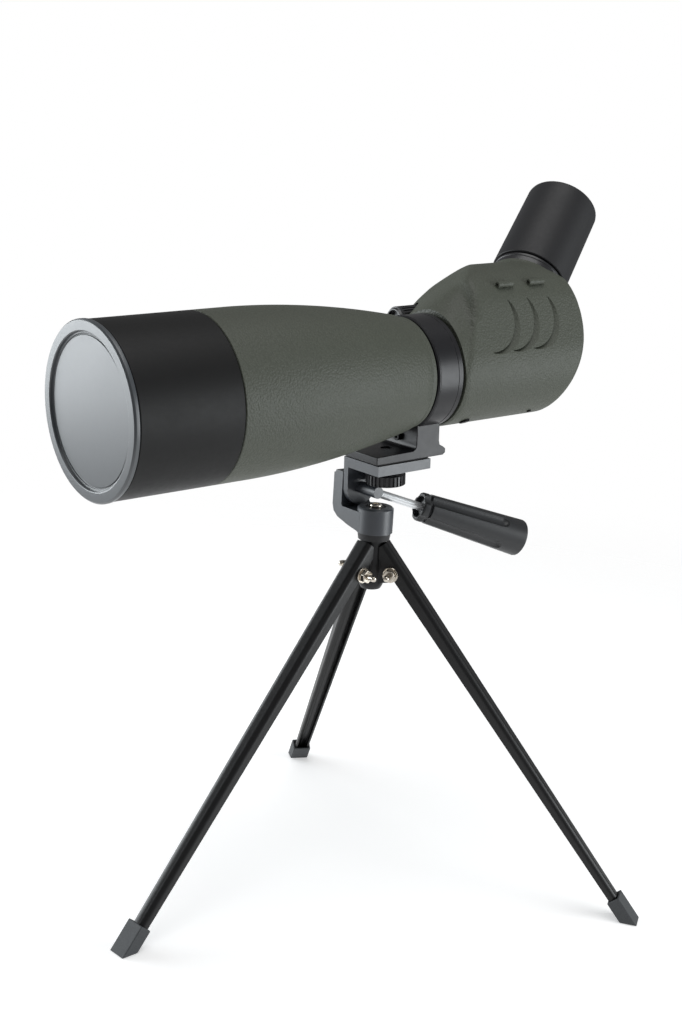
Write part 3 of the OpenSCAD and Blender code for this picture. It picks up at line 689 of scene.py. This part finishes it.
def scoop(x, side):
    """A sloping crescent cutter on one flank. side is 1 near the handle, else -1."""
    bm = bmesh.new()
    corners = [bm.verts.new((SCOOP_R, HOUSE_R - SCOOP_DEPTH, 0)),
               bm.verts.new((SCOOP_R, HOUSE_R + 2, 0)),
               bm.verts.new((SCOOP_R + SCOOP_WIDTH, HOUSE_R + 2, 0)),
               bm.verts.new((SCOOP_R + SCOOP_WIDTH, HOUSE_R + 0.02, 0))]
    face = bm.faces.new(corners)
    sweep = math.radians(SCOOP_TO - SCOOP_FROM)
    bmesh.ops.spin(bm, geom=[face, *face.edges, *face.verts], cent=(0, 0, 0),
                   axis=(0, -1, 0), angle=sweep, steps=48, use_duplicate=False)
    for v in bm.verts:
        turn = math.atan2(v.co.z, v.co.x) % math.tau
        fade = min(1.0, SCOOP_RAMP * math.sin(math.pi * min(1.0, turn / sweep)))
        reach = math.hypot(v.co.x, v.co.z)
        taper = math.sin(math.pi * min(1.0, turn / sweep)) ** 0.8
        new_reach = SCOOP_R + max(SCOOP_TIP, taper) * (reach - SCOOP_R)
        v.co.x *= new_reach / reach
        v.co.z *= new_reach / reach
        if v.co.y < HOUSE_R:
            v.co.y = HOUSE_R - SCOOP_DEPTH * fade + 0.02
    bmesh.ops.recalc_face_normals(bm, faces=bm.faces)
    place = (Matrix.Translation((x, 0, SCOOP_Z))
             @ Matrix.Rotation(-math.radians(SCOOP_FROM), 4, "Y"))
    moved(bm, place)
    if side < 0:
        bmesh.ops.mirror(bm, geom=bm.verts[:] + bm.edges[:] + bm.faces[:],
                         axis="Y", merge_dist=0.0)
        near = [v for v in bm.verts if v.co.y > 0]
        bmesh.ops.delete(bm, geom=near, context="VERTS")
        bmesh.ops.recalc_face_normals(bm, faces=bm.faces)
    return bm


# %% Cut the housing
NECK_FACE, NECK_BORE, TROUGH_R = -9.7, 25.2, 7.9
KEEPER_X = (-68.9, -47.4)
DIMPLE_R = 1.75
scoops = [scoop(x, flank) for flank in (1, -1) for x in SCOOP_PLACES]
housing = carve(housing, moved(rod(30, BOSS_END, BOSS_END + 20), to_eyepiece))
housing = carve(housing, rod(40, NECK_FACE, 10, segments=96))
housing = carve(housing, rod(NECK_BORE, -20, 5, segments=128))
to_knob = SCOPE.inverted() @ KNOB
housing = carve(housing, moved(rod(TROUGH_R, -12, 30, segments=72), to_knob))
for cutter in scoops:
    housing = carve(housing, cutter)
dimples = []
for x in KEEPER_X:
    bm = bmesh.new()
    bmesh.ops.create_uvsphere(bm, u_segments=24, v_segments=16, radius=DIMPLE_R)
    dimples.append(moved(bm, Matrix.Translation((x + 6.0, 28.6, 32.9))))
for cutter in dimples:
    housing = carve(housing, cutter)
down = Matrix.Rotation(-math.pi / 2, 4, "Y")
for x, y, radius in ((-22, 3, 2.9), (-66, 4, 1.3)):
    housing = carve(housing, moved(rod(radius, -33, -28.2), Matrix.Translation(
        (x, y, 0)) @ down))
piece(housing, "prism_housing_shell", "prism_housing", SCOPE,
      angle=math.radians(34))

# %% [markdown]
# ## Ribs by inset
# The focus knob, the thumb wheel and the zoom ring are all ribbed for grip. A ring of
# faces is made with twice as many sides as ribs, and every second face is pushed in
# with an inset, which gives each rib real walls.

# %% Ribbed wheel helper
def ribbed(radius, x0, x1, ribs, depth, core=0.0, flat=0.6, rim=0.6):
    """A wheel about local X with ribs between two plain rims."""
    stations = [x0, x0 + rim, x1 - rim, x1]
    bm = spun([(stations[0], core), (stations[0], radius - flat),
               (stations[0] + flat * 0.6, radius), (stations[1], radius),
               (stations[2], radius), (stations[3] - flat * 0.6, radius),
               (stations[3], radius - flat), (stations[3], core)],
              steps=ribs * 4, closed=core > 0)
    middle = (stations[1] + stations[2]) / 2
    band = [f for f in bm.faces if abs(f.calc_center_median().x - middle) < 0.1
            and f.calc_center_median().yz.length > radius * 0.9]
    band.sort(key=lambda f: math.atan2(f.calc_center_median().y,
                                       f.calc_center_median().z))
    low = [f for i, f in enumerate(band) if i % 4 in (0, 1)]
    bmesh.ops.inset_region(bm, faces=low, thickness=0.12, depth=-depth,
                           use_even_offset=True)
    return bm


# %% Focus knob
knob = ribbed(7.0, -11.0, 8.8, 24, 0.55, rim=1.6)
knob = carve(knob, rod(5.1, 7.3, 14, segments=64))
shaft = rod(2.0, -27, -10.6, segments=32)
knob = carve(knob, shaft, "UNION")
nub = spun([(8.8, 5.1), (10.1, 5.3), (10.1, 5.9), (8.8, 6.4)], steps=64)
knob = carve(knob, nub, "UNION")
piece(knob, "focus_knob_ribbed", "focus_knob", KNOB)

# %% [markdown]
# ## The eyepiece
# A tall dust cap hides the zoom eyepiece. Under it are a turned neck, a ribbed zoom
# ring and a fold-down rubber cup, all modelled, because the cap pulls off.

# %% Eyepiece pieces
RING_TOP = 59.7
CAP_TOP = RING_TOP + 54.0
dust_cap = spun([(RING_TOP + 0.3, 18.9), (RING_TOP + 0.3, 20.1), (RING_TOP + 0.6, 20.4),
                 (RING_TOP + 2.2, 20.38), (CAP_TOP - 1.6, 19.72),
                 (CAP_TOP - 0.75, 19.5), (CAP_TOP - 0.2, 18.95), (CAP_TOP, 18.2),
                 (CAP_TOP, 0), (CAP_TOP - 2, 0), (CAP_TOP - 2, 18.2)], steps=160,
                closed=False)
rim_edges = [e for e in dust_cap.edges if e.is_boundary]
bmesh.ops.bridge_loops(dust_cap, edges=rim_edges)
bmesh.ops.recalc_face_normals(dust_cap, faces=dust_cap.faces)
piece(dust_cap, "eyepiece_dust_cap", "eyepiece_cap", EYEPIECE)

neck_ring = spun([(45, 12), (45, 14), (BOSS_END + 0.1, 14), (BOSS_END + 0.1, 19.2),
                  (BOSS_END + 0.4, 19.5), (57.3, 19.5), (57.5, 19.25), (57.8, 19.25),
                  (58.0, 19.5), (RING_TOP - 0.5, 19.5), (RING_TOP - 0.1, 19.1),
                  (RING_TOP - 0.1, 14), (93, 14), (93, 12)], steps=144)
soften(neck_ring, 0.12, segments=2)
piece(neck_ring, "eyepiece_neck", "eyepiece_body", EYEPIECE)
zoom = ribbed(17.5, RING_TOP + 1.5, RING_TOP + 22.5, 36, 0.7, core=14.05, rim=2.0)
piece(zoom, "zoom_ring_ribbed", "zoom_ring", EYEPIECE)
cup = spun([(84, 14.1), (84, 17.1), (84.3, 17.4), (88, 17.8), (93, 17.8), (93.4, 17.5),
            (93.8, 17.8), (98, 17.8), (98.4, 17.5), (98.8, 17.8), (105.6, 17.8),
            (107.4, 17.3), (108, 16.8), (107.6, 15.9), (106.6, 15.6), (97, 16),
            (93.4, 14.1)], steps=128)
piece(cup, "fold_down_eyecup", "eyecup", EYEPIECE)

# %% [markdown]
# ## Keeper bars
# Two short raised bars sit over the scoops, each with a dark socket at its front end.

# %% Keeper bars
bars = []
for x in KEEPER_X:
    bar = spun([(-6.1, 0), (-5.9, 0.75), (-5.2, 1.35), (-4.4, 1.6), (4.2, 1.6),
                (5.0, 1.45), (5.3, 1.0), (5.3, 0.85), (4.4, 0.75), (4.4, 0)], steps=40,
               closed=False)
    bars.append(moved(bar, Matrix.Translation((x, 28.1, 33.1))))
piece(together(*bars), "keeper_bar_pair", "keeper_bars", SCOPE)

# %% [markdown]
# ## Tripod head
# The castings keep the CAD's shape. A welded copy gets a bevel on each sharp edge,
# wide on the pan base, which is a sand-cast arm, and narrow on the milled platform.
# The screws are spun again from finer profiles. The second leg's pivot pin goes in
# from the other side, as in the CAD.

# %% Castings
def casting(node, name, width, segments=3, angle=32):
    bm = soften(merged_copy(node), width, segments, angle)
    return piece(bm, name, node)


casting("pan_base", "pan_base_cast", 0.45)
casting("platform", "platform_milled", 0.3)
casting("top_pad", "platform_pad", 0.2, 2)
casting("spider", "leg_spider_cast", 0.4)
casting("tilt_pin", "tilt_pin_slotted", 0.12, 2)
casting("lock_screw", "collar_lock_screw", 0.12, 2)

# %% Pan screw and the black disc under its head
HUB_TOP = 196.0
stand_up = Matrix.Rotation(-math.pi / 2, 4, "Y")
disc = spun([(HUB_TOP - 1.1, 2.2), (HUB_TOP - 1.1, 5.0), (HUB_TOP - 0.45, 5.0),
             (HUB_TOP - 0.2, 4.75), (HUB_TOP - 0.2, 2.2)], steps=72)
piece(moved(disc, stand_up), "pan_screw_disc", "pan_screw", finish_name="black_screw")
stud = spun([(168, 0), (168, 1.6), (168.5, 2.05), (HUB_TOP - 0.3, 2.05),
             (HUB_TOP - 0.3, 3.0), (HUB_TOP - 0.1, 3.1), (HUB_TOP + 0.7, 3.1),
             (HUB_TOP + 1.2, 2.85), (HUB_TOP + 1.5, 2.3), (HUB_TOP + 1.5, 1.55),
             (HUB_TOP + 0.7, 1.5), (HUB_TOP + 0.7, 0)], steps=72, closed=False)
piece(moved(stud, stand_up), "pan_screw_turned", "pan_screw")

# %% Pivot screws and nuts
across_leg = Matrix.Rotation(math.pi / 2, 4, "Z")
screws, nuts = [], []
for turn, leg_frame in zip((0, math.pi, 0), LEGS):
    place = (WORLD.inverted() @ leg_frame @ Matrix.Rotation(turn, 4, "Z")
             @ across_leg)
    screw = spun([(-8.4, 0), (-8.35, 1.0), (-8.0, 2.2), (-7.2, 2.95), (-6.5, 3.1),
                  (-6.1, 3.1), (-6.1, 3.75), (-5.95, 3.9), (-5.3, 3.9), (-5.3, 1.55),
                  (12.9, 1.55), (13.9, 1.3), (14.4, 0.7), (14.5, 0)], steps=64,
                 closed=False)
    for cross in (0, math.pi / 2):
        slot = bmesh.new()
        bmesh.ops.create_cube(slot, size=1.0, matrix=Matrix.Translation((-8.3, 0, 0))
                              @ Matrix.Rotation(cross, 4, "X")
                              @ Matrix.Diagonal((1.6, 3.4, 0.7, 1)))
        screw = carve(screw, slot)
    screws.append(moved(screw, place))
    washer = spun([(5.3, 1.62), (5.3, 3.9), (5.95, 3.9), (6.1, 3.75), (6.1, 1.62)],
                  steps=64)
    nut = moved(rod(3.4, 6.15, 9.3, segments=6), Matrix.Rotation(0.3, 4, "X"))
    soften(nut, 0.3, 3, 40)
    nut = carve(nut, rod(1.62, 5, 11, segments=48))
    nuts.append(moved(together(washer, nut), place))
piece(together(*screws), "pivot_screw_set", "pivot_screws")
piece(together(*nuts), "pivot_nut_set", "pivot_nuts")

# %% Thumb wheel
WHEEL = HEAD @ Matrix.Translation((-7, -2, 0)) @ Matrix.Rotation(-math.pi / 2, 4, "Y")
wheel = ribbed(10.0, 3.3, 8.8, 28, 0.75, rim=0.35, flat=0.5)
stem = spun([(3.2, 0), (3.2, 3.4), (8.6, 3.4), (8.6, 5.4), (11.4, 5.4), (11.4, 3.05),
             (20.6, 3.05), (21.0, 2.6), (21.0, 0)], steps=72, closed=False)
soften(stem, 0.15, 2)
wheel = carve(wheel, stem, "UNION")
piece(wheel, "camera_screw_wheel", "camera_screw", WHEEL)

# %% [markdown]
# ## Handle grip
# The grip is a moulded handle that swells away from the head. A dark groove parts its
# rim from the body, the front is hollow round the rod, and four long flutes with
# rounded ends leave broad lands between them. The groove is cut first and the flutes
# after it, so that it follows the fluted section.

# %% Grip
GRIP_START, GRIP_LENGTH = 26.0, 61.0
FLUTE_R, FLUTE_AXIS, FLUTE_TAPER = 4.2, 10.3, math.radians(2)
HANDLE = frame_at(joint["handle_clamp"]["pos_m"], joint["handle_clamp"]["axis"],
                  (0, 0, 1))
grip = moved(spun([(2.4, 0), (2.4, 5.2), (0.3, 5.4), (0, 5.8), (0, 6.5), (0.2, 7.0),
                   (0.8, 7.4), (3.1, 7.5), (3.3, 7.35), (3.35, 6.0), (4.9, 6.05),
                   (4.95, 7.4), (5.3, 7.62), (GRIP_LENGTH - 1.2, 9.6),
                   (GRIP_LENGTH - 0.5, 9.4), (GRIP_LENGTH - 0.15, 8.9),
                   (GRIP_LENGTH - 0.05, 6.0), (GRIP_LENGTH, 0)], steps=160,
                  closed=False),
             Matrix.Translation((GRIP_START, 0, 0)))
flute_length = GRIP_LENGTH - 20
for k in range(4):
    capsule = spun([(-12, 0), (-12, FLUTE_R)]
                   + [(flute_length + x, r) for x, r in arc(0, 0, FLUTE_R, 90, 0, 12)],
                   steps=48, closed=False)
    moved(capsule, Matrix.Rotation(math.radians(90 * k + 45), 4, "X")
          @ Matrix.Translation((GRIP_START + 5, 0, FLUTE_AXIS))
          @ Matrix.Rotation(-FLUTE_TAPER, 4, "Y"))
    grip = carve(grip, capsule)
soften(grip, 0.25, 2, 35)
piece(grip, "handle_grip_moulded", "handle_grip", HANDLE)
bright = spun([(-1.6, 0), (-1.6, 1.8), (-1.3, 2.1), (65.7, 2.1), (66, 1.8), (66, 0)],
              steps=96, closed=False)
piece(bright, "handle_rod_bright", "handle_rod", HANDLE)

# %% [markdown]
# ## Legs and feet
# Each leg is a channel folded from sheet, so its two outer corners are rolled while
# its lips stay thin. The leg's own frame tells the outer corners from the lips.

# %% Legs and feet
LEG_MID = 3.2
for k, leg_frame in enumerate(LEGS, start=1):
    leg = merged_copy(f"leg_{k}", leg_frame)

    def outer_long(e):
        a, b = (v.co for v in e.verts)
        return (a - b).length > 60 and min(a.x, b.x) > LEG_MID

    soften(leg, 3.2, 10, 40, outer_long)
    soften(leg, 0.18, 2, 40)
    piece(leg, f"leg_channel_{k}", f"leg_{k}", leg_frame)
    foot = soften(merged_copy(f"foot_{k}", leg_frame), 0.5, 3, 30)
    piece(foot, f"rubber_foot_{k}", f"foot_{k}", leg_frame)

# %% [markdown]
# ## Parts that keep their CAD shape
# Lenses, prisms and the parts inside the tube are exact already. They stay as they
# are and only take their finish.

# %% Finish the remaining CAD nodes
kept = 0
for name, node in frame["nodes"].items():
    if node.hide_render:
        continue
    node.data.materials.clear()
    node.data.materials.append(finish[slot_of[name]])
    kept += 1
print("CAD nodes shown as they are:", kept)

# %% [markdown]
# ## Studio
# The set is a pale table top that fades into white surroundings, so no horizon shows.
# The surroundings look white to the camera but light the object only dimly, and the
# glowing table throws light up on the underside of the barrel and the housing. One
# soft panel stands where the cap mirrors it, and others draw the long highlights on
# the flanks, the legs and the rod.

# %% Floor
FLOOR_R, FADE_FROM, FADE_TO = 1.0, 0.30, 0.90
ground = bmesh.new()
bmesh.ops.create_circle(ground, cap_ends=True, segments=96, radius=FLOOR_R)
floor_mesh = bpy.data.meshes.new("floor")
ground.to_mesh(floor_mesh)
ground.free()
floor = bpy.data.objects.new("floor", floor_mesh)
bpy.context.scene.collection.objects.link(floor)
floor.location.z = -0.0002
paper = bpy.data.materials.new("white table")
paper.use_nodes = True
tree = paper.node_tree
shader = tree.nodes["Principled BSDF"]
place = add(tree, "ShaderNodeTexCoord").outputs["Object"]
centre = add(tree, "ShaderNodeVectorMath", {0: place}, operation="LENGTH")
fade = add(tree, "ShaderNodeMapRange", {"Value": centre.outputs["Value"],
           "From Min": FADE_FROM, "From Max": FADE_TO, "To Min": 1.0, "To Max": 0.0},
           interpolation_type="SMOOTHSTEP")
fibres = add(tree, "ShaderNodeTexNoise", {"Vector": place, "Scale": 900.0, "Detail": 3.0})
bump = add(tree, "ShaderNodeBump", {"Height": fibres.outputs[0], "Strength": 0.4,
           "Distance": 0.00003})
shader.inputs["Base Color"].default_value = (0.86, 0.86, 0.86, 1)
shader.inputs["Roughness"].default_value = 0.8
shader.inputs["Specular IOR Level"].default_value = 0.1
shader.inputs["Emission Color"].default_value = (1, 1, 1, 1)
shader.inputs["Emission Strength"].default_value = 0.38
tree.links.new(fade.outputs[0], shader.inputs["Alpha"])
tree.links.new(bump.outputs["Normal"], shader.inputs["Normal"])
floor_mesh.materials.append(paper)

# %% Lights and surroundings
DIM = 0.22
world = bpy.data.worlds.new("white room")
world.use_nodes = True
tree = world.node_tree
seen = add(tree, "ShaderNodeLightPath").outputs["Is Camera Ray"]
glow = add(tree, "ShaderNodeMapRange", {"Value": seen, "To Min": DIM, "To Max": 1.0})
tree.nodes["Background"].inputs["Color"].default_value = (1, 1, 1, 1)
tree.links.new(glow.outputs[0], tree.nodes["Background"].inputs["Strength"])
bpy.context.scene.world = world


def panel(name, at, aim, size, watts, tint=(1, 1, 1)):
    """A soft panel at a place, facing aim, that isn't seen itself."""
    light = bpy.data.lights.new(name, "AREA")
    light.shape, light.size, light.size_y = "RECTANGLE", size[0], size[1]
    light.energy = watts
    light.color = tint
    obj = bpy.data.objects.new(name, light)
    bpy.context.scene.collection.objects.link(obj)
    obj.location = at
    obj.rotation_mode = "QUATERNION"
    obj.rotation_quaternion = (Vector(aim) - Vector(at)).to_track_quat("-Z", "Y")
    obj.visible_camera = False
    return obj


panel("cap mirror", (0.62, -0.86, 0.32), (0.16, 0, 0.25), (1.0, 0.62), 11,
      (0.92, 0.97, 1.0))
panel("right flank", (-0.80, 0.96, 0.22), (0, 0, 0.22), (0.7, 0.8), 11,
      (0.94, 0.98, 1.0))
panel("overhead", (0.1, 0.2, 1.6), (0, 0, 0.1), (1.2, 1.2), 12)

# %% [markdown]
# ## Camera
# A 55 mm lens from the handle side, a little above the barrel, with a slight roll.
# The axes of the camera are built from where it stands and which way it looks.

# %% Camera
CAMERA_AT = Vector((0.48404, 0.58077, 0.38269))
AZIMUTH, ELEVATION, ROLL = (math.radians(a) for a in (51.49, 14.15, 3.52))
FOCAL_MM = 55.01
back = Vector((math.cos(ELEVATION) * math.cos(AZIMUTH),
               math.cos(ELEVATION) * math.sin(AZIMUTH), math.sin(ELEVATION)))
right = Vector((0, 0, 1)).cross(back).normalized()
above = back.cross(right)
tilted_right = right * math.cos(ROLL) + above * math.sin(ROLL)
tilted_up = above * math.cos(ROLL) - right * math.sin(ROLL)
camera = bpy.data.cameras.new("camera")
camera.lens, camera.sensor_width = FOCAL_MM, 36.0
camera.clip_start, camera.clip_end = 0.01, 100.0
view = bpy.data.objects.new("camera", camera)
bpy.context.scene.collection.objects.link(view)
pose = Matrix((tilted_right, tilted_up, back)).transposed().to_4x4()
pose.translation = CAMERA_AT
view.matrix_world = pose
bpy.context.scene.camera = view
bpy.context.scene.view_settings.view_transform = "Standard"
